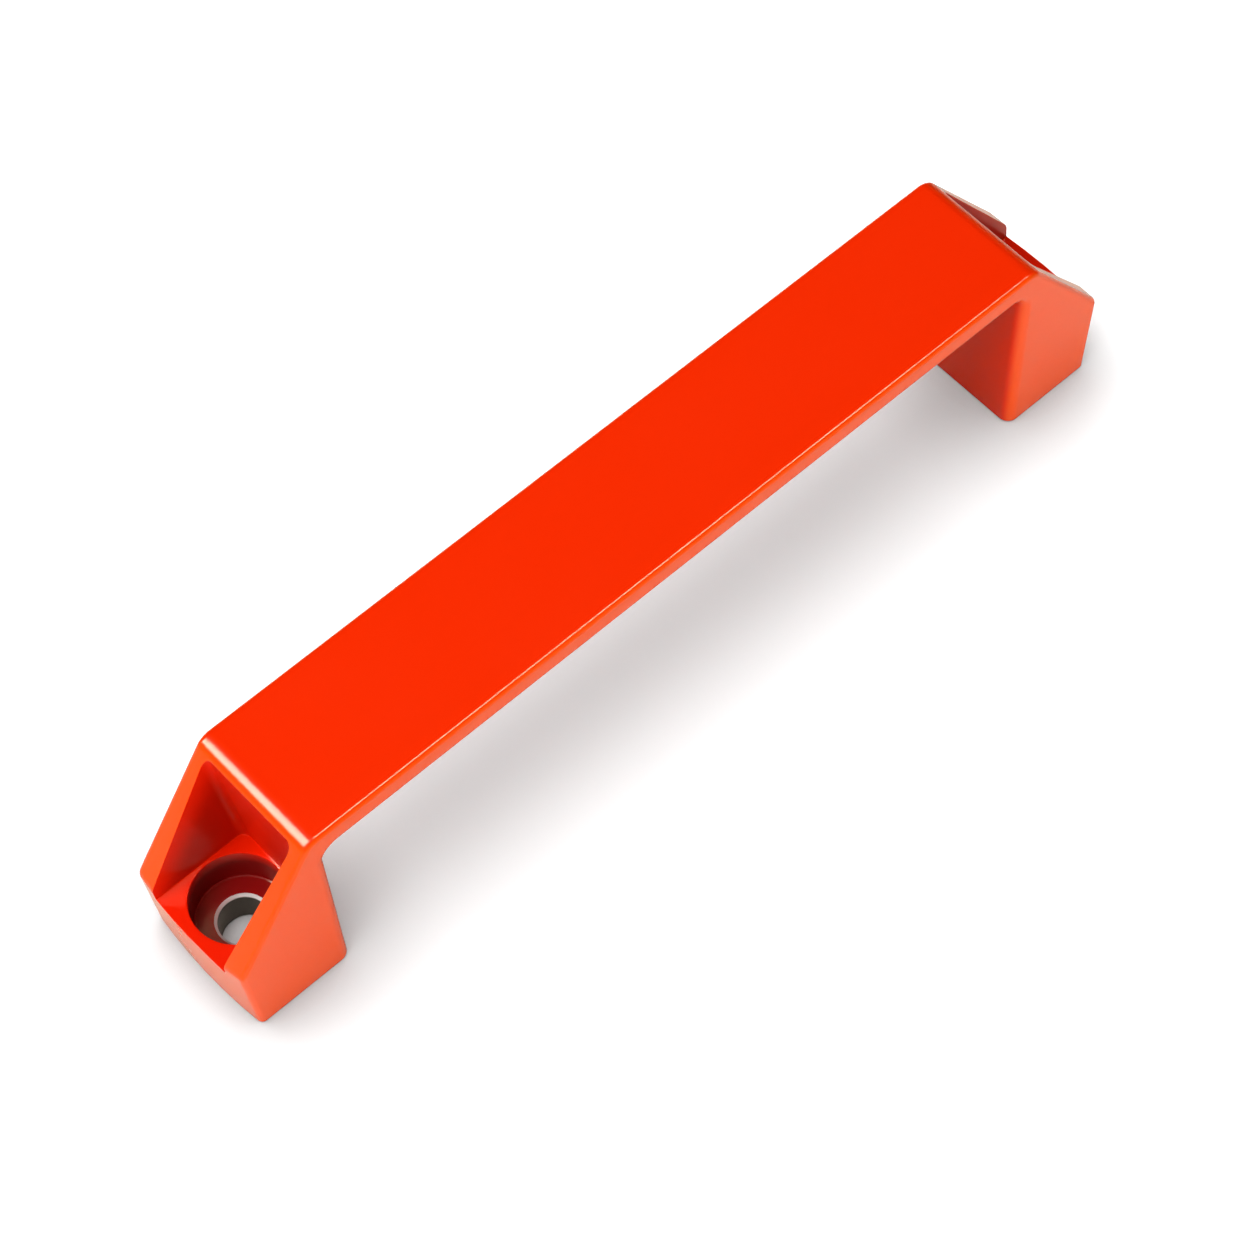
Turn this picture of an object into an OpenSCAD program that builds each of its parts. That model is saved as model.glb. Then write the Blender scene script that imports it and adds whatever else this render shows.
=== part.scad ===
// Bridge handle, cast in one piece, screwed down from above through an open pocket in each foot.
// X runs along the bar, Y across it, Z up from the mounting surface; the origin is midway between the feet.

/* [Bar] */
// Distance between the two screw hole axes
hole_spacing = 180; // [120:1:260]
// Width across the bar and the feet
body_w = 28; // [26:0.5:40]
// Overall height above the mounting surface
body_h = 44; // [36:0.5:60]
// Thickness of the bar
bar_t = 5.8; // [5:0.1:9]
// From a screw hole axis in to the edge where the top turns down into the slope
slope_in = 7.4; // [4:0.1:10]

/* [Feet] */
// From the counterbore out to the end of the foot, at its sides
front_t = 1.3; // [0.8:0.1:4]
// How far the end bows out at its middle, seen from above
end_bow = 1; // [0.3:0.1:2]
// Height of the end, up to the slope
end_h = 18.8; // [17:0.1:24]
// How far the end leans in at the mounting surface
end_lean = 1.6; // [0.2:0.1:3]
// From the back of the pocket floor in to the grip face of the leg, at the mounting surface
back_t = 2.5; // [2:0.1:6]
// How far the grip face leans out between the mounting surface and the bar
leg_lean = 1.2; // [0.2:0.1:2.5]

/* [Pockets] */
// Height of the pocket floor above the mounting surface
floor_h = 15.4; // [12:0.1:16.5]
// Floor left between the counterbore and the back of the pocket
back_land = 0.2; // [0.1:0.1:2]
// Floor left between the counterbore and a side wall
side_land = 0.5; // [0.2:0.1:1]
// How much a side wall thins from the floor up to the mouth
side_draft = 2; // [0.2:0.1:2.5]
// Land along the slope between the top edge and the pocket mouth
lip = 1.9; // [1.6:0.1:4]
// Corner radius at the top of the pocket mouth
mouth_r = 2; // [0.5:0.1:4]

/* [Screw seats] */
// Bore for the screw, an M8 clearance hole
bore_d = 9; // [5:0.1:10]
// Counterbore for the screw head and its washer
seat_d = 17.4; // [14:0.1:18.4]
// Metal left under the screw head
seat_t = 7.5; // [4:0.1:9]
// Bare chamfer round the top of the bore
bore_c = 0.5; // [0.2:0.1:1]

/* [Edges] */
// Radius along the top and slope edges
top_r = 1; // [0.5:0.1:1.8]
// Radius of the bend between the top and the slope
bend_r = 2.9; // [2:0.1:3]
// Radius along the grip edges, under the bar and down the legs
grip_r = 2.2; // [1:0.1:3]
// Fillet between the leg and the underside of the bar
fillet_r = 3; // [2:0.1:8]
// Radius down the corners of the end
end_r = 1; // [0.5:0.1:2]
// Radius along the front of the pocket floor
floor_r = 0.8; // [0.3:0.1:1.5]

/* [Hidden] */
$fn = 64;
// Facets of the shallow bow of the end
bow_fn = 720;
// Cuts run past the faces that they leave by this much
over = 1;
// A blend's outline reaches past its corner by this share of its radius
reach = 1.5;
// A blend's arc is this much larger than one that just touches its two faces
lap = 1.004;
// The same for a cut that runs on past the end of its neighbour, which then stays shy of it
shy = 1.012;
// Turn by which a bend's cut runs on into the straight edges beside it
bend_over = 3;
// Rise of the pocket's cut above its lip, so that they don't end on the same line
skim = 0.05;

half_w = body_w / 2;
hole_x = hole_spacing / 2;
under_h = body_h - bar_t;
seat_r = seat_d / 2;
back_x = hole_x - seat_r - back_land;
floor_w = seat_r + side_land;
mouth_w = floor_w + side_draft;

// Corners of the side outline
slope_x = hole_x - slope_in;
end_x = hole_x + seat_r + front_t;
far_x = end_x + end_bow + over;
leg_x = back_x - back_t;
slope_a = atan2(body_h - end_h, end_x - slope_x);
slope_l = norm([end_x - slope_x, body_h - end_h]);
lean_a = atan2(end_lean, end_h);
lean_l = norm([end_lean, end_h]);
leg_a = atan2(leg_lean, under_h);
leg_l = norm([leg_lean, under_h]);
top_p = [slope_x, body_h];
far_p = [far_x, body_h - (far_x - slope_x) * tan(slope_a)];
under_p = [leg_x + leg_lean, under_h];
foot_p = [leg_x, 0];
fillet_l = fillet_r / tan((90 - leg_a) / 2);

// The end is part of a shallow cylinder
bow_r = (half_w ^ 2 + end_bow ^ 2) / (2 * end_bow);

// Corners of the back of the pocket
floor_p = [back_x, floor_h];
lip_p = [slope_x + lip * cos(slope_a), body_h - lip * sin(slope_a)];

function unit(v) = v / norm(v);
// A point of the side outline, moved to the other end
function flip(p) = [-p.x, p.y];
// Centre of the arc of radius r that blends the corner p between points a and b
function blend_c(p, a, b, r) =
    let (u = unit(a - p), v = unit(b - p), half = acos(u * v) / 2)
    p + unit(u + v) * r / sin(half);
// Where that arc meets the edge from p towards a
function blend_t(p, a, b, r) =
    let (u = unit(a - p), v = unit(b - p), half = acos(u * v) / 2)
    p + u * r / tan(half);

// What a blend of radius r takes off an outer corner, or adds in an inner one
module blend(p, a, b, r) {
    c = blend_c(p, a, b, r);
    difference() {
        polygon([for (q = [c, blend_t(p, a, b, r), p, blend_t(p, b, a, r)]) c + (q - c) * reach]);
        translate(c)
            circle(r * lap);
    }
}

// The same across a square edge at the origin, with the metal at negative x and y
module edge_section(r, fit)
    translate([-r, -r])
        difference() {
            square(reach * r);
            circle(r * fit);
        }

// A cut along X that rounds the edge between an upper face and a +Y side
module edge_cut(r, l, fit)
    rotate([90, 0, 90])
        linear_extrude(l)
            edge_section(r, fit);

// A ring of a section about an axis along Y, from an upward start, turning towards +X
module ring_cut(from, turn)
    rotate([-90, 0, 0])
        rotate([0, 0, from - 90])
            rotate_extrude(angle = turn)
                children();

// An outline in X and Z, given depth along Y
module across(l)
    rotate([90, 0, 0])
        linear_extrude(l, center = true)
            children();

module both_ends() {
    children();
    mirror([1, 0, 0])
        children();
}

module both_sides() {
    children();
    mirror([0, 1, 0])
        children();
}

// Side outline of the whole handle, before its ends are trimmed
module outline() {
    half = [top_p, far_p, [far_x, 0], foot_p, under_p];
    last = len(half) - 1;
    difference() {
        union() {
            polygon(concat(half, [for (i = [last:-1:0]) flip(half[i])]));
            blend(under_p, [0, under_h], foot_p, fillet_r);
            blend(flip(under_p), flip(foot_p), [0, under_h], fillet_r);
        }
        blend(top_p, far_p, [0, body_h], bend_r);
        blend(flip(top_p), [0, body_h], flip(far_p), bend_r);
    }
}

// Stands what is given about the leaning axis of the bow of the end at +X, level with the toe
module at_bow()
    translate([end_x + end_bow, 0, end_h])
        rotate([0, lean_a, 0])
            translate([-bow_r, 0, 0])
                children();

// Everything outside the bowed, leaning end of the foot at +X
module end_trim()
    at_bow()
        difference() {
            translate([bow_r - end_bow - over, -half_w - over, -lean_l - over])
                cube([end_bow + over * 4, body_w + over * 2, lean_l + over * 4]);
            cylinder(r = bow_r, h = lean_l * 4, center = true, $fn = bow_fn);
        }

// Round along the front of the pocket floor, between the side walls
module floor_round() {
    spread = asin(floor_w / bow_r);
    at_bow()
        rotate([0, 0, -spread])
            rotate_extrude(angle = spread * 2, $fn = bow_fn)
                translate([bow_r, (floor_h - end_h) / cos(lean_a)])
                    edge_section(floor_r, lap);
}

// Rounds along the outer edges of the foot at +X
module foot_rounds() {
    bend_c = blend_c(top_p, [0, body_h], far_p, bend_r);
    both_sides() {
        translate([slope_x, half_w, body_h])
            rotate([0, slope_a, 0])
                edge_cut(top_r, slope_l + over, shy);
        translate([bend_c.x, 0, bend_c.y])
            ring_cut(0, slope_a)
                translate([bend_r * lap, half_w])
                    edge_section(top_r, lap);
        translate([end_x, half_w, end_h])
            rotate([0, 90 + lean_a, 0])
                translate([-over, 0, 0])
                    edge_cut(end_r, lean_l + over * 2, lap);
    }
}

// Rounds along the grip edge of the leg at +X and round its fillet
module leg_rounds() {
    fillet_c = blend_c(under_p, [0, under_h], foot_p, fillet_r);
    both_sides() {
        translate([leg_x, half_w, 0])
            rotate([0, leg_a - 90, 0])
                translate([-over, 0, 0])
                    edge_cut(grip_r, leg_l - fillet_l + over, lap);
        translate([fillet_c.x, 0, fillet_c.y])
            ring_cut(-bend_over, 90 + leg_a + bend_over * 2)
                translate([fillet_r * lap, half_w])
                    mirror([1, 0])
                        edge_section(grip_r, shy);
    }
}

// Rounds along the bar
module bar_rounds()
    both_sides() {
        translate([-slope_x, half_w, body_h])
            edge_cut(top_r, slope_x * 2, shy);
        translate([under_p.x - fillet_l, half_w, under_h])
            rotate([0, 180, 0])
                edge_cut(grip_r, (under_p.x - fillet_l) * 2, lap);
    }

// The open pocket in the foot at +X
module pocket() {
    back = lip_p + unit(lip_p - floor_p) * over;
    rise = lip_p.y + skim - floor_h;
    low_w = floor_w - side_draft * over / rise;
    low = [for (s = [1, -1]) [s * low_w, floor_h - over]];
    high = [for (s = [1, -1]) [s * mouth_w, floor_h + rise]];
    intersection() {
        across(body_w)
            polygon([floor_p, back, [far_x + over, back.y], [far_x + over, floor_h]]);
        translate([hole_x - body_w, 0, 0])
            rotate([90, 0, 90])
                linear_extrude(body_w * 2)
                    difference() {
                        polygon([low[0], high[0], high[1], low[1]]);
                        blend(high[0], high[1], low[0], mouth_r);
                        blend(high[1], high[0], low[1], mouth_r);
                    }
    }
}

// Counterbore, bore and chamfer for the screw at +X
module screw_seat()
    translate([hole_x, 0, 0]) {
        translate([0, 0, seat_t])
            cylinder(r = seat_r, h = floor_h - seat_t + over);
        translate([0, 0, -over])
            cylinder(d = bore_d, h = seat_t + over * 2);
        translate([0, 0, seat_t - bore_c])
            cylinder(d1 = bore_d, d2 = bore_d + bore_c * 4, h = bore_c * 2);
    }

module handle()
    color("orangered")
        difference() {
            across(body_w)
                outline();
            bar_rounds();
            both_ends() {
                end_trim();
                floor_round();
                foot_rounds();
                leg_rounds();
                pocket();
                screw_seat();
            }
        }

handle();
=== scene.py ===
# %% [markdown]
# # A cast bridge handle
# The object is one aluminium casting under a glossy orange-red powder coat: a flat bar that bends
# down into two feet, each with an open pocket for a screw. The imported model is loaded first. It is
# the measured truth, in metres, and everything made here stands in the same frame.

# %% Load the frame
import math

import bmesh
import bpy
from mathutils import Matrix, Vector


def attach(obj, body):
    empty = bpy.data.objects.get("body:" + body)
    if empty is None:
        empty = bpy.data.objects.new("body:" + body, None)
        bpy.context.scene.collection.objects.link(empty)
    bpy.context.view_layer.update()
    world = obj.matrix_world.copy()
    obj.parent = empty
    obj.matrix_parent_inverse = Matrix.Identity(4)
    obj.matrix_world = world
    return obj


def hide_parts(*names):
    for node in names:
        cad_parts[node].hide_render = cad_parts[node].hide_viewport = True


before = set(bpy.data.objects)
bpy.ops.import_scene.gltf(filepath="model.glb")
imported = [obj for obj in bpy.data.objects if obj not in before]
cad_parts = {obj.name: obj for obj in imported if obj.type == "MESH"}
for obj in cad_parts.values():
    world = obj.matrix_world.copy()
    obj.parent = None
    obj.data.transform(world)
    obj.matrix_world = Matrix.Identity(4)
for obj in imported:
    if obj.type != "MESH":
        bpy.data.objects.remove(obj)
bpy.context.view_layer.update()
scene = bpy.context.scene
scene.view_settings.view_transform = "Standard"

# %% [markdown]
# ## Camera
# The photograph looks down on the handle from one corner, about 59 degrees above the floor, through
# a long lens. The lens and the place were fitted to the straight edges of the bar and the feet, so
# the numbers below are a measurement and not a taste.

# %% Camera
IMAGE_PX = 1254
FOCAL_PX = 3800
SENSOR_MM = 36

camera_data = bpy.data.cameras.new("photo_camera")
camera_data.sensor_width = SENSOR_MM
camera_data.lens = FOCAL_PX / IMAGE_PX * SENSOR_MM
camera_data.clip_start = 0.01
camera = bpy.data.objects.new("photo_camera", camera_data)
camera.location = (-0.22127, -0.26594, 0.58271)
camera.rotation_euler = [math.radians(a) for a in (30.7033, 1.6008, -42.0982)]
scene.collection.objects.link(camera)
scene.camera = camera
print("lens in mm:", round(camera_data.lens, 1))

# %% [markdown]
# ## The side outline
# The real handle is cast in one pour, so the mesh is one closed skin too. Its side outline is the
# shape that a pattern maker would saw first, so it comes first here: fourteen corners, seven at
# each end, in millimetres. They are the corners of the CAD outline before any edge is rounded.

# %% Side outline
MM = 0.001
HALF_WIDTH = 14.0
CORNERS = {
    "bend": (82.6, 44.0),
    "lip": (83.84, 42.21),
    "toe": (100.0, 18.8),
    "floor front": (99.71, 15.4),
    "foot front": (98.4, 0.0),
    "foot back": (78.6, 0.0),
    "under": (79.8, 38.2),
}

body = bmesh.new()
ring = [(x, z) for x, z in CORNERS.values()]
ring += [(-x, z) for x, z in reversed(CORNERS.values())]
start = body.faces.new([body.verts.new((x, -HALF_WIDTH, z)) for x, z in ring])
print("outline corners:", len(ring))


# %% [markdown]
# ## The blank
# The outline is extruded across the handle in six steps. The steps put lines where the pocket walls
# will stand, and they let the end of each foot bow out a little, as it does on the real casting.
# The walls lean, so each corner has its own distance from the middle.

# %% Blank
BOW = 0.92
WALL_Y = {
    "bend": 11.3, "lip": 11.18, "toe": 9.45, "floor front": 9.2,
    "foot front": 9.2, "foot back": 10.0, "under": 10.0,
}
SLOPE = (CORNERS["bend"][1] - CORNERS["toe"][1]) / (CORNERS["toe"][0] - CORNERS["bend"][0])
TOE_BOW = 0.89
WALL_SHARE = 0.7


def corner_name(co):
    return min(CORNERS, key=lambda n: math.dist((abs(co.x), co.z), CORNERS[n]))


def set_station(vert, share):
    name = corner_name(vert.co)
    x, z = CORNERS[name]
    y = HALF_WIDTH * share if abs(share) > 1 - 1e-6 else WALL_Y[name] * share / WALL_SHARE
    bow = BOW * (1 - (y / HALF_WIDTH) ** 2)
    if name in ("floor front", "foot front"):
        x += bow
    if name == "toe":
        x += TOE_BOW * bow
        z -= TOE_BOW * bow * SLOPE
    vert.co = (math.copysign(x, vert.co.x), y, z)


cap = start
for share in (-WALL_SHARE, -WALL_SHARE / 2, 0, WALL_SHARE / 2, WALL_SHARE, 1):
    grown = bmesh.ops.extrude_face_region(body, geom=[cap])["geom"]
    if cap is not start:
        body.faces.remove(cap)
    cap = next(g for g in grown if isinstance(g, bmesh.types.BMFace))
    for vert in cap.verts:
        set_station(vert, share)
print("blank faces:", len(body.faces))

# %% [markdown]
# ## The open pockets
# Each pocket is a sand core's print: the middle of the slope and the top of the end are pushed in
# until they become the back wall and the floor. The corner between them travels to the back of the
# floor, and the corners at the mouth stay where they are. The inside faces get a mark of their own,
# so that the edge of the mouth can be found later.

# %% Pockets
OUTSIDE, INSIDE = 0, 1
FLOOR_BACK = (81.1, 9.2, 15.4)
FLOOR_Z = FLOOR_BACK[2]
HOLE_X = 90.0
TOUCH = 1e-3


def is_mouth(face):
    c = face.calc_center_median()
    names = {corner_name(v.co) for v in face.verts}
    return abs(c.y) < 9 and names in ({"lip", "toe"}, {"toe", "floor front"})


mouth = [f for f in body.faces if is_mouth(f)]
pushed = bmesh.ops.extrude_face_region(body, geom=mouth)["geom"]
bmesh.ops.delete(body, geom=mouth, context="FACES")
deep = []
for vert in (g for g in pushed if isinstance(g, bmesh.types.BMVert)):
    if corner_name(vert.co) == "toe":
        x, y, z = FLOOR_BACK
        vert.co = (math.copysign(x, vert.co.x), vert.co.y * y / WALL_Y["toe"], z)
        deep.append(vert)
for face in {f for v in deep for f in v.link_faces}:
    face.material_index = INSIDE
bmesh.ops.remove_doubles(body, verts=body.verts, dist=TOUCH)
deep = [v for v in body.verts
        if math.dist((abs(v.co.x), v.co.z), (FLOOR_BACK[0], FLOOR_Z)) < 0.1]
creases = [e for v in deep for e in v.link_edges
           if corner_name(e.other_vert(v).co) == "toe" and abs(e.other_vert(v).co.x) > HOLE_X]
bmesh.ops.dissolve_edges(body, edges=creases)
bmesh.ops.recalc_face_normals(body, faces=body.faces)
print("inside faces:", sum(f.material_index == INSIDE for f in body.faces))


# %% [markdown]
# ## Rounding the long edges
# A casting has no sharp edge. The edges that run across are rounded first: the bend into the slope,
# the fillet under the bar and the toes. After that the edges along each side are smooth chains, and
# the grip side gets a larger round than the top, because that is where the fingers go.

# %% Rounds
def round_edges(test, offset, segments):
    edges = [e for e in body.edges if test(*e.verts, e)]
    bmesh.ops.bevel(body, geom=edges, offset=offset, offset_type="OFFSET", affect="EDGES",
                    segments=segments, profile=0.5, material=-1, clamp_overlap=True)
    print("rounded", len(edges), "edges by", offset)


def on_corner(name):
    x, z = CORNERS[name]

    def test(a, b, edge):
        near = all(math.dist((abs(v.co.x), v.co.z), (x, z)) < 0.05 for v in (a, b))
        return near and a.co.x * b.co.x > 0
    return test


TOE_FROM_X = 99
GRIP_TO = (80.1, 38.3)
BEND_FROM_Z = 41


def is_toe(a, b, edge):
    return (corner_name(a.co) == corner_name(b.co) == "toe"
            and min(abs(a.co.x), abs(b.co.x)) > TOE_FROM_X
            and max(abs(a.co.y), abs(b.co.y)) > HALF_WIDTH - 0.1)


def is_side(a, b):
    return all(abs(v.co.y) > HALF_WIDTH - 0.01 for v in (a, b)) and a.co.y * b.co.y > 0


def is_grip(a, b, edge):
    return is_side(a, b) and all(abs(v.co.x) < GRIP_TO[0] and v.co.z < GRIP_TO[1] for v in (a, b))


def is_top(a, b, edge):
    return (is_side(a, b) and max(a.co.z, b.co.z) > 0.01
            and all(v.co.z > BEND_FROM_Z or abs(v.co.x) > HOLE_X for v in (a, b)))


round_edges(on_corner("bend"), 1.88, 10)
round_edges(on_corner("under"), 3.096, 8)
round_edges(is_toe, 0.8, 5)
round_edges(is_grip, 2.2, 8)
round_edges(is_top, 1.0, 6)


# %% [markdown]
# ## Rounding the pockets
# The back corners of the pocket are rounded from the floor up to the mouth, a small fillet runs
# round the floor, and then the whole edge of the mouth, down the end of the foot and across the
# front of the floor, is one loop and gets one small round. Rounding the back corners leaves small
# faces on the slope that still carry the inside mark, so the mark is taken off whatever lies on the
# slope before the mouth is looked for.

# %% Pocket rounds
def at_floor(vert):
    return abs(vert.co.z - FLOOR_Z) < TOUCH


def is_back_corner(a, b, edge):
    low, high = sorted((a, b), key=lambda v: v.co.z)
    return at_floor(low) and high.co.z > 40 and abs(low.co.y) > 9 and all(
        f.material_index == INSIDE for f in edge.link_faces)


def leaves_level(edge):
    return sorted(abs(f.normal.z) > 0.99 for f in edge.link_faces) == [False, True]


def is_floor_edge(a, b, edge):
    inside = all(f.material_index == INSIDE for f in edge.link_faces)
    return at_floor(a) and at_floor(b) and inside and leaves_level(edge)


def is_mouth_edge(a, b, edge):
    return sorted(f.material_index for f in edge.link_faces) == [OUTSIDE, INSIDE]


def is_base_edge(a, b, edge):
    return max(a.co.z, b.co.z) < TOUCH and leaves_level(edge)


def on_slope(face):
    x = face.calc_center_median().x
    return face.normal.z > 0.4 and math.copysign(face.normal.x, face.normal.x * x) > 0.6


round_edges(is_back_corner, 1.6, 6)
body.normal_update()
for face in filter(on_slope, body.faces):
    face.material_index = OUTSIDE
round_edges(is_floor_edge, 0.2, 3)
round_edges(is_mouth_edge, 0.3, 4)
round_edges(is_base_edge, 0.3, 3)

# %% [markdown]
# ## Screw seats
# The counterbore, its floor, the chamfer and the bore are turned by a cutter on the real part, so
# they are turned here as well: one small profile spun about the screw axis. The rounds leave the
# pocket floor a hair off level at its front corners, so it is levelled before it is taken out. The
# floor and the underside are then filled again round the new openings, each as a front and a back
# half that meet beside the hole, because one mesh face can't have a hole in it.

# %% Screw seats
TURNS = 96
CHAMFER_R = 5.0
SEAT = [
    (8.65, FLOOR_Z), (8.56, 15.36), (8.5, 15.25), (8.5, 7.9), (8.38, 7.62), (8.1, 7.5),
    (CHAMFER_R, 7.5), (4.5, 7.0), (4.5, 0.25), (4.75, 0.0),
]


def level_faces(z):
    return [f for f in body.faces if all(abs(v.co.z - z) < TOUCH for v in f.verts)]


def from_axis(co):
    return math.hypot(abs(co.x) - HOLE_X, co.y)


def fill_round_hole(side, z, radius):
    rim = [e for e in body.edges if e.is_boundary and e.verts[0].co.x * side > 0
           and all(abs(v.co.z - z) < TOUCH for v in e.verts)]
    verts = {v for e in rim for v in e.verts}
    hole = {v for v in verts if abs(from_axis(v.co) - radius) < 0.01}
    cuts = []
    for way in (1, -1):
        beside = max(hole, key=lambda v: way * v.co.y)
        corner = max(verts - hole, key=lambda v: way * v.co.y + 0.01 * abs(v.co.x))
        cuts.append(body.edges.new((beside, corner)))

    def in_front(edge):
        limit = HOLE_X if edge.verts[0] in hole else abs(corner.co.x)
        return all(abs(v.co.x) > limit - 0.05 for v in edge.verts)

    front = [e for e in rim if in_front(e)]
    back = [e for e in rim if not in_front(e)]
    for half in (front, back):
        made = bmesh.ops.edgeloop_fill(body, edges=half + cuts)["faces"]
        areas = [round(f.calc_area(), 1) for f in made]
        print("half of the level", z, "filled, area in mm2:", areas)


body.normal_update()
for face in body.faces:
    if face.normal.z > 0.999 and abs(face.calc_center_median().z - FLOOR_Z) < 0.01:
        for vert in face.verts:
            vert.co.z = FLOOR_Z
bmesh.ops.delete(body, geom=level_faces(FLOOR_Z) + level_faces(0), context="FACES")
for side in (1, -1):
    axis = (side * HOLE_X, 0, 0)
    line = [body.verts.new((side * HOLE_X + r, 0, z)) for r, z in SEAT]
    steps = [body.edges.new(pair) for pair in zip(line, line[1:])]
    bmesh.ops.spin(body, geom=line + steps, cent=axis, axis=(0, 0, 1), angle=math.tau,
                   steps=TURNS, use_merge=True)
    for radius, z in (SEAT[0], SEAT[-1]):
        fill_round_hole(side, z, radius)
bmesh.ops.recalc_face_normals(body, faces=body.faces)

# %% [markdown]
# ## Marks for the finish
# The bore and its chamfer are cut after the coating, so their faces get the second material, bare
# metal. Every face also stores how deep it lies: 0 outside, 0.5 in the pocket and 1 in the screw
# seat. Edges are marked sharp where two faces meet steeply, and all round the level floors, so that
# a floor shades as flat as it is.

# %% Marks
COATED, BARE = 0, 1
SHARP_ANGLE = math.radians(40)

recess = body.faces.layers.float.new("recess")
for face in body.faces:
    centre = face.calc_center_median()
    radius = from_axis(centre)
    in_seat = radius < SEAT[0][0] and 0.01 < centre.z < FLOOR_Z - 0.01
    in_pocket = face.material_index == INSIDE or all(at_floor(v) for v in face.verts)
    face[recess] = 1.0 if in_seat else 0.5 if in_pocket else 0.0
    face.material_index = BARE if in_seat and radius < CHAMFER_R - 0.01 else COATED
    face.smooth = True
for edge in body.edges:
    level = [abs(f.normal.z) > 0.9999 for f in edge.link_faces]
    low_rim = edge.verts[0].co.z < FLOOR_Z + 0.01 and sorted(level) == [False, True]
    edge.smooth = edge.calc_face_angle() < SHARP_ANGLE and not low_rim
open_edges = sum(len(e.link_faces) != 2 for e in body.edges)
print("faces:", len(body.faces), "open edges:", open_edges, "volume in cm3:",
      round(body.calc_volume() / 1000, 2))

# %% [markdown]
# ## One finished piece
# The skin is scaled to metres and handed to the frame as the piece that stands for the CAD node.
# Large flat faces keep their own direction and the rounds blend into them, which a weighted normal
# does well on a casting like this.

# %% Finished piece
bmesh.ops.scale(body, vec=(MM, MM, MM), verts=body.verts)
mesh = bpy.data.meshes.new("cast_handle")
body.to_mesh(mesh)
body.free()
cast = bpy.data.objects.new("cast_handle", mesh)
scene.collection.objects.link(cast)
blend = cast.modifiers.new("flat faces stay flat", "WEIGHTED_NORMAL")
blend.keep_sharp = True
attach(cast, "root")
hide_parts("handle")
print("triangles:", sum(len(p.vertices) - 2 for p in mesh.polygons))

# %% [markdown]
# ## Node helpers
# Both finishes and the floor are small node trees. One helper makes an empty material, another adds
# a node and fills its sockets, either with a value or with another node's output, and three more
# cover the nodes that come up most.

# %% Node helpers
def empty_material(name):
    material = bpy.data.materials.new(name)
    material.use_nodes = True
    material.node_tree.nodes.clear()
    return material


def add(tree, kind, sockets=None, **settings):
    node = tree.nodes.new(kind)
    for key, value in settings.items():
        setattr(node, key, value)
    for key, value in (sockets or {}).items():
        if isinstance(value, bpy.types.NodeSocket):
            tree.links.new(value, node.inputs[key])
        else:
            node.inputs[key].default_value = value
    return node


def ramp(tree, value, low, high, start=0.0, end=1.0):
    sockets = {"Value": value, "From Min": low, "From Max": high, "To Min": start, "To Max": end}
    return add(tree, "ShaderNodeMapRange", sockets).outputs["Result"]


def times(tree, first, second):
    return add(tree, "ShaderNodeMath", {0: first, 1: second}, operation="MULTIPLY").outputs[0]


def blend_colour(tree, factor, first, second):
    colours = [(*c, 1) if isinstance(c, tuple) else c for c in (first, second)]
    sockets = {"Factor": factor, "A": colours[0], "B": colours[1]}
    return add(tree, "ShaderNodeMix", sockets, data_type="RGBA").outputs["Result"]


print("helpers ready")

# %% [markdown]
# ## The colour of the coat
# The powder is sprayed on from above and melts to a thick gloss, a deep orange-red on the top. The
# upright faces that look outward or sideways are painted a lighter orange. This is painted light,
# standing in for the lamps and the lit paper reflected in those sides. The pockets are painted a
# deeper, darker red, and the counterbore a dark red that deepens downwards, as painted shade of the
# recesses. The direction of the face and the recess value stored in the mesh tell these places
# apart, so the colour stays on the piece from any side. Rays that have bounced off a matt surface
# see a darker red than the camera does, so the white floor isn't tinted. Inside the pockets the
# bounced red is dimmed as well, which is painted shade on the pocket walls.

# %% Coat colour
THICK_RED = (0.96, 0.025, 0.0)
# painted light: a lighter orange on the upright faces, for the light and reflections on the sides
SIDE_LIGHT_ORANGE = (0.97, 0.075, 0.003)
# painted shade: a darker, deeper red for the inside of the pockets
POCKET_SHADE_RED = (0.9, 0.012, 0.0)
# painted shade: near-black red for the inside of the counterbore
SEAT_SHADE_DARK = (0.22, 0.004, 0.004)
QUIET_RED = (0.25, 0.03, 0.018)
# painted shade: bounced rays see a dim red inside the pockets, which darkens the pocket walls
POCKET_DIM_BOUNCE = (0.35, 0.006, 0.0)
SEAT_TOP, SEAT_SHADE_FULL = 0.0154, 0.0125

coat = empty_material("powder_coat")
tree = coat.node_tree
place = add(tree, "ShaderNodeTexCoord")
facing = add(tree, "ShaderNodeSeparateXYZ", {0: place.outputs["Normal"]})
spot = add(tree, "ShaderNodeSeparateXYZ", {0: place.outputs["Object"]})
hollow = add(tree, "ShaderNodeAttribute", attribute_name="recess").outputs["Fac"]
in_pocket = ramp(tree, hollow, 0.0, 0.5)
# painted shade mask for the counterbore: none at its rim, full a few millimetres down
deep_down = ramp(tree, spot.outputs["Z"], SEAT_TOP, SEAT_SHADE_FULL)
in_seat = times(tree, ramp(tree, hollow, 0.5, 1.0), deep_down)
end = add(tree, "ShaderNodeMath", {0: spot.outputs["X"]}, operation="SIGN").outputs[0]
outward = times(tree, facing.outputs["X"], end)
sideways = add(tree, "ShaderNodeMath", {0: facing.outputs["Y"]}, operation="ABSOLUTE").outputs[0]
outer = add(tree, "ShaderNodeMath", {0: outward, 1: sideways}, operation="MAXIMUM").outputs[0]
# painted light: faces that look outward or sideways are painted lighter orange
colour = blend_colour(tree, ramp(tree, outer, 0.3, 0.75), THICK_RED, SIDE_LIGHT_ORANGE)
# painted shade: the pockets are painted a darker red
colour = blend_colour(tree, in_pocket, colour, POCKET_SHADE_RED)
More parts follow.
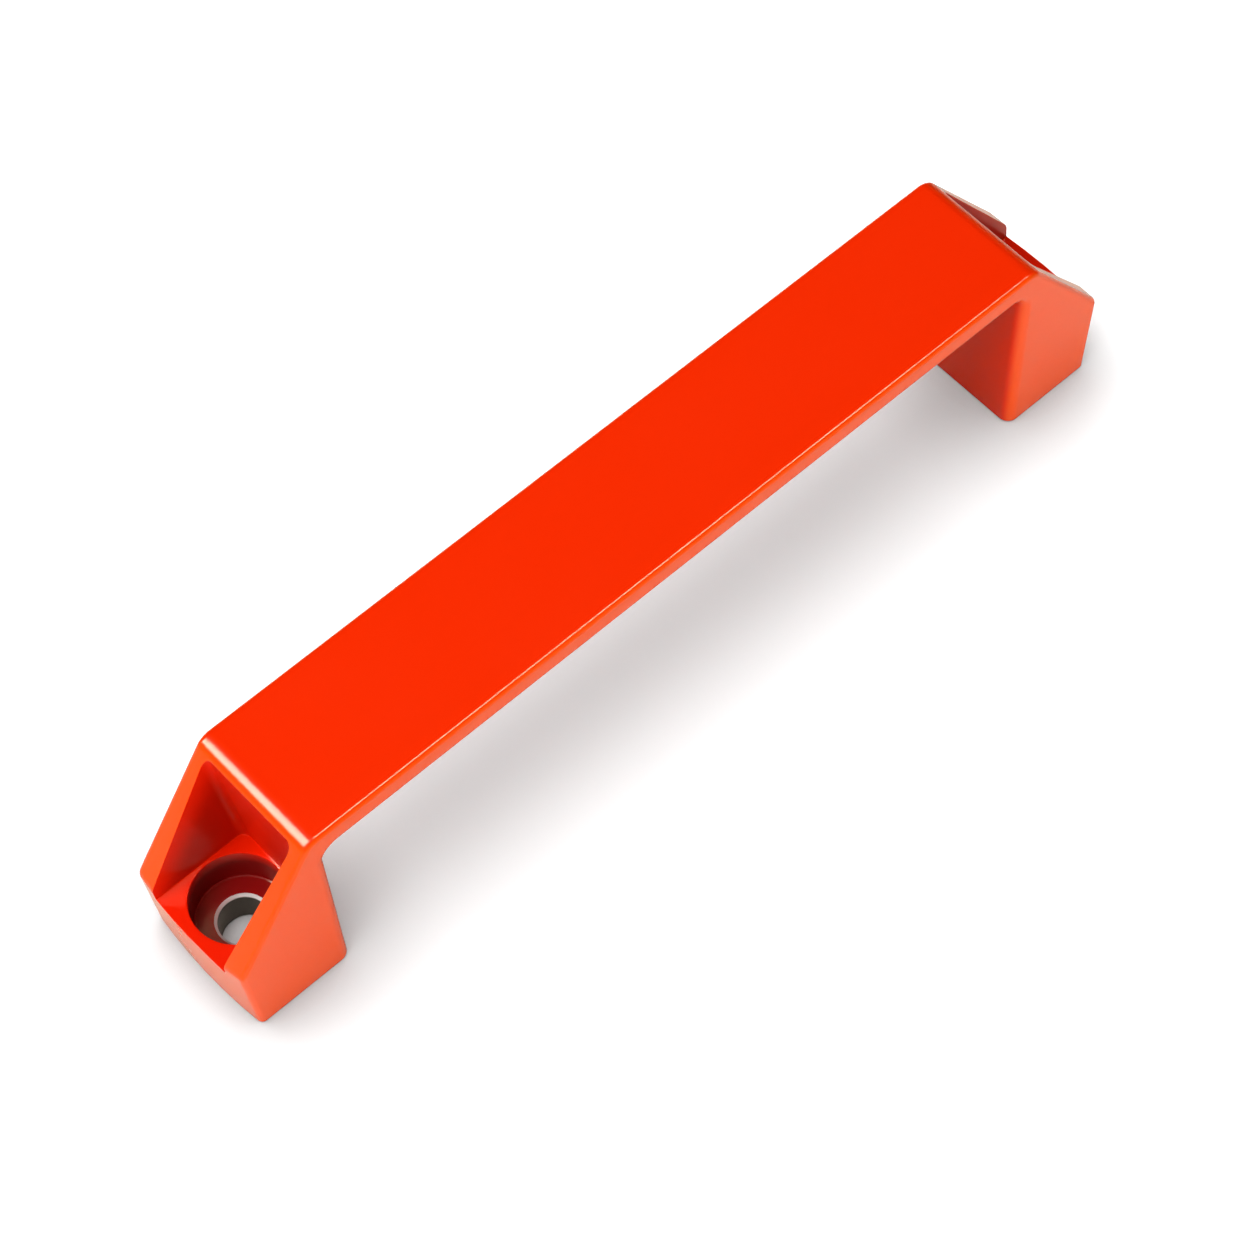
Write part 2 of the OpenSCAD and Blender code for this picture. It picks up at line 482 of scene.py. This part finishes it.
# painted shade: the counterbore turns dark red with depth
colour = blend_colour(tree, in_seat, colour, SEAT_SHADE_DARK)
# bounced rays see a darker red: less red light on the floor, and painted shade in the pockets
bounced = add(tree, "ShaderNodeLightPath").outputs["Is Diffuse Ray"]
quiet = blend_colour(tree, in_pocket, QUIET_RED, POCKET_DIM_BOUNCE)
colour = blend_colour(tree, bounced, colour, quiet)
print("coat colour nodes:", len(tree.nodes))

# %% [markdown]
# ## The gloss of the coat
# Melted powder is shiny but never quite flat: a faint orange peel waves the reflections, and the
# gloss drifts a little from place to place. Both are noise on the object's own coordinates, too
# fine to be worth modelling. The upright walls of the pockets catch less powder and are duller.

# %% Coat gloss
PEEL_SCALE, PEEL_DEPTH = 650, 0.0002
DRIFT_SCALE = 60
GLOSS = (0.14, 0.18)
WALL_DULLNESS = 0.15
COAT_TINT = (1, 0.93, 0.75, 1)

peel = add(tree, "ShaderNodeTexNoise",
           {"Vector": place.outputs["Object"], "Scale": PEEL_SCALE, "Detail": 1})
drift = add(tree, "ShaderNodeTexNoise",
            {"Vector": place.outputs["Object"], "Scale": DRIFT_SCALE, "Detail": 3})
bump = add(tree, "ShaderNodeBump",
           {"Height": peel.outputs["Fac"], "Strength": 0.04, "Distance": PEEL_DEPTH})
lean = add(tree, "ShaderNodeMath", {0: facing.outputs["Z"]}, operation="ABSOLUTE").outputs[0]
wall = times(tree, in_pocket, ramp(tree, lean, 0.25, 0.15))
sheen = ramp(tree, drift.outputs["Fac"], 0.3, 0.7, *GLOSS)
dull = ramp(tree, wall, 0, 1, 0, WALL_DULLNESS)
rough = add(tree, "ShaderNodeMath", {0: sheen, 1: dull}, operation="ADD").outputs[0]
paint = add(tree, "ShaderNodeBsdfPrincipled", {
    "Base Color": colour, "IOR": 1.45, "Specular Tint": COAT_TINT, "Roughness": rough,
    "Normal": bump.outputs["Normal"]})
add(tree, "ShaderNodeOutputMaterial", {"Surface": paint.outputs["BSDF"]})
mesh.materials.append(coat)
print("coat nodes:", len(tree.nodes))

# %% [markdown]
# ## Bare metal in the bores
# The bore and its chamfer are drilled after coating. The chamfer is bright, freshly cut aluminium,
# and the bore below it is painted near black, painted shade for the deep hole, with the fine rings
# that a drill leaves. The rings are a wave along the height, fed to a bump.

# %% Bare bores
# painted shade: near-black metal for the deep bore wall
BORE_SHADE_BLACK = (0.04, 0.037, 0.035)
CUT_SILVER = (0.85, 0.83, 0.8)
CHAMFER_Z = (0.0068, 0.00705)
RING_SCALE, RING_DEPTH = 900, 0.0001

bare = empty_material("bare_aluminium")
tree = bare.node_tree
place = add(tree, "ShaderNodeTexCoord")
spot = add(tree, "ShaderNodeSeparateXYZ", {0: place.outputs["Object"]})
cut = ramp(tree, spot.outputs["Z"], *CHAMFER_Z)
rings = add(tree, "ShaderNodeTexWave",
            {"Vector": place.outputs["Object"], "Scale": RING_SCALE, "Distortion": 1.5},
            bands_direction="Z")
bump = add(tree, "ShaderNodeBump",
           {"Height": rings.outputs["Fac"], "Strength": 0.15, "Distance": RING_DEPTH})
metal = add(tree, "ShaderNodeBsdfPrincipled", {
    "Base Color": blend_colour(tree, cut, BORE_SHADE_BLACK, CUT_SILVER),
    "Metallic": ramp(tree, cut, 0, 1, 1.0, 0.4),
    "Roughness": ramp(tree, rings.outputs["Fac"], 0, 1, 0.35, 0.45),
    "Normal": bump.outputs["Normal"]})
add(tree, "ShaderNodeOutputMaterial", {"Surface": metal.outputs["BSDF"]})
mesh.materials.append(bare)
print("bare faces:", sum(p.material_index == BARE for p in mesh.polygons))

# %% [markdown]
# ## The floor
# The handle lies on white paper. The paper is lit by the lamps like everything else, and it also
# glows a little for the camera, which stands for the light of a white room. That glow is held back
# under the bar and between the feet, where it follows the ambient occlusion. The paper's own colour
# is also painted darker there, down to grey inside the bores, as painted shade. In the gloss of the
# coat the paper shows warm and ends not far from the handle, with the dark studio beyond it. The
# paper lies a hair below the feet, so that the two surfaces don't flicker through each other.

# %% Floor
FLOOR_SIZE = 6
FLOOR_DROP = 0.0002
SHELTER_REACH = 0.02
PAPER_ENDS = (0.3, 0.7)
PAPER = (0.9, 0.9, 0.9)
# painted shade: grey paper where the ambient occlusion is strong
PAPER_SHADE_GREY = (0.45, 0.43, 0.42)
WARM_PAPER = (0.9, 0.78, 0.65)
DARK_STUDIO = (0.02, 0.02, 0.02)
ROOM_GLOW = 0.4

bpy.ops.mesh.primitive_plane_add(size=FLOOR_SIZE)
floor = bpy.context.object
floor.location.z = -FLOOR_DROP
floor.name = "floor"
paper = empty_material("floor_paper")
tree = paper.node_tree
place = add(tree, "ShaderNodeTexCoord")
away = add(tree, "ShaderNodeVectorMath", {0: place.outputs["Object"]},
           operation="LENGTH").outputs["Value"]
rays = add(tree, "ShaderNodeLightPath")
mirrored = blend_colour(tree, ramp(tree, away, *PAPER_ENDS), WARM_PAPER, DARK_STUDIO)
shelter = add(tree, "ShaderNodeAmbientOcclusion", {"Distance": SHELTER_REACH}).outputs["AO"]
# painted shade: the paper colour darkens with the ambient occlusion
seen = blend_colour(tree, shelter, PAPER_SHADE_GREY, PAPER)
shade = blend_colour(tree, rays.outputs["Is Glossy Ray"], seen, mirrored)
matte = add(tree, "ShaderNodeBsdfDiffuse", {"Color": shade})
glow = ramp(tree, times(tree, rays.outputs["Is Camera Ray"], shelter), 0, 1, 0, ROOM_GLOW)
light = add(tree, "ShaderNodeEmission", {"Strength": glow})
both = add(tree, "ShaderNodeAddShader", {0: matte.outputs["BSDF"], 1: light.outputs["Emission"]})
add(tree, "ShaderNodeOutputMaterial", {"Surface": both.outputs["Shader"]})
floor.data.materials.append(paper)
print("floor size in metres:", FLOOR_SIZE)

# %% [markdown]
# ## Studio light
# A key light from above the near end shapes the handle, a light almost straight over the table
# gives the paper its soft shadow, a fill opens up the long side and a weak one the far end. The key
# lights only the handle and the table light only the paper, so that each can stand where it does
# its own job best. The bright lines along the bend and the long top edge are reflections, so they
# get two cards of their own, which the gloss sees and matt surfaces don't.

# %% Lights
AWAY = 2.5
WHITE = (1, 1, 1)
WARM_WHITE = (1, 0.9, 0.85)
PEACH = (1, 0.8, 0.62)
STUDIO_DARK = (0.01, 0.01, 0.01, 1)


def softbox(name, towards, size, power, card=None):
    data = bpy.data.lights.new(name, "AREA")
    data.shape = "RECTANGLE"
    data.size, data.size_y = size
    data.energy = power
    lamp = bpy.data.objects.new(name, data)
    lamp.location = Vector(towards).normalized() * AWAY
    lamp.rotation_euler = Vector(towards).to_track_quat("Z", "Y").to_euler()
    lamp.visible_glossy = bool(card)
    lamp.visible_diffuse = not card
    data.color = card or WHITE
    scene.collection.objects.link(lamp)
    print(name, "size in metres:", size, "power in watts:", power)
    return lamp


key = softbox("key", (-0.5, 0.05, 0.86), (2.0, 2.0), 80)
table = softbox("table light", (-0.18, 0.08, 1.0), (2.3, 1.7), 68)
softbox("fill", (-0.12, -0.98, 0.1), (0.8, 0.6), 32)
softbox("end fill", (0.95, 0.25, 0.18), (0.8, 0.6), 10)
softbox("bend card", (-0.6, 0.39, 0.7), (0.6, 1.3), 60, card=WARM_WHITE)
softbox("edge card", (0.22, -0.12, 0.97), (0.5, 1.6), 75, card=PEACH)

for lamp, lit in ((key, cast), (table, floor)):
    only = bpy.data.collections.new("lit by the " + lamp.name)
    only.objects.link(lit)
    lamp.light_linking.receiver_collection = only

world = bpy.data.worlds.new("studio")
world.use_nodes = True
world.node_tree.nodes["Background"].inputs["Color"].default_value = STUDIO_DARK
scene.world = world
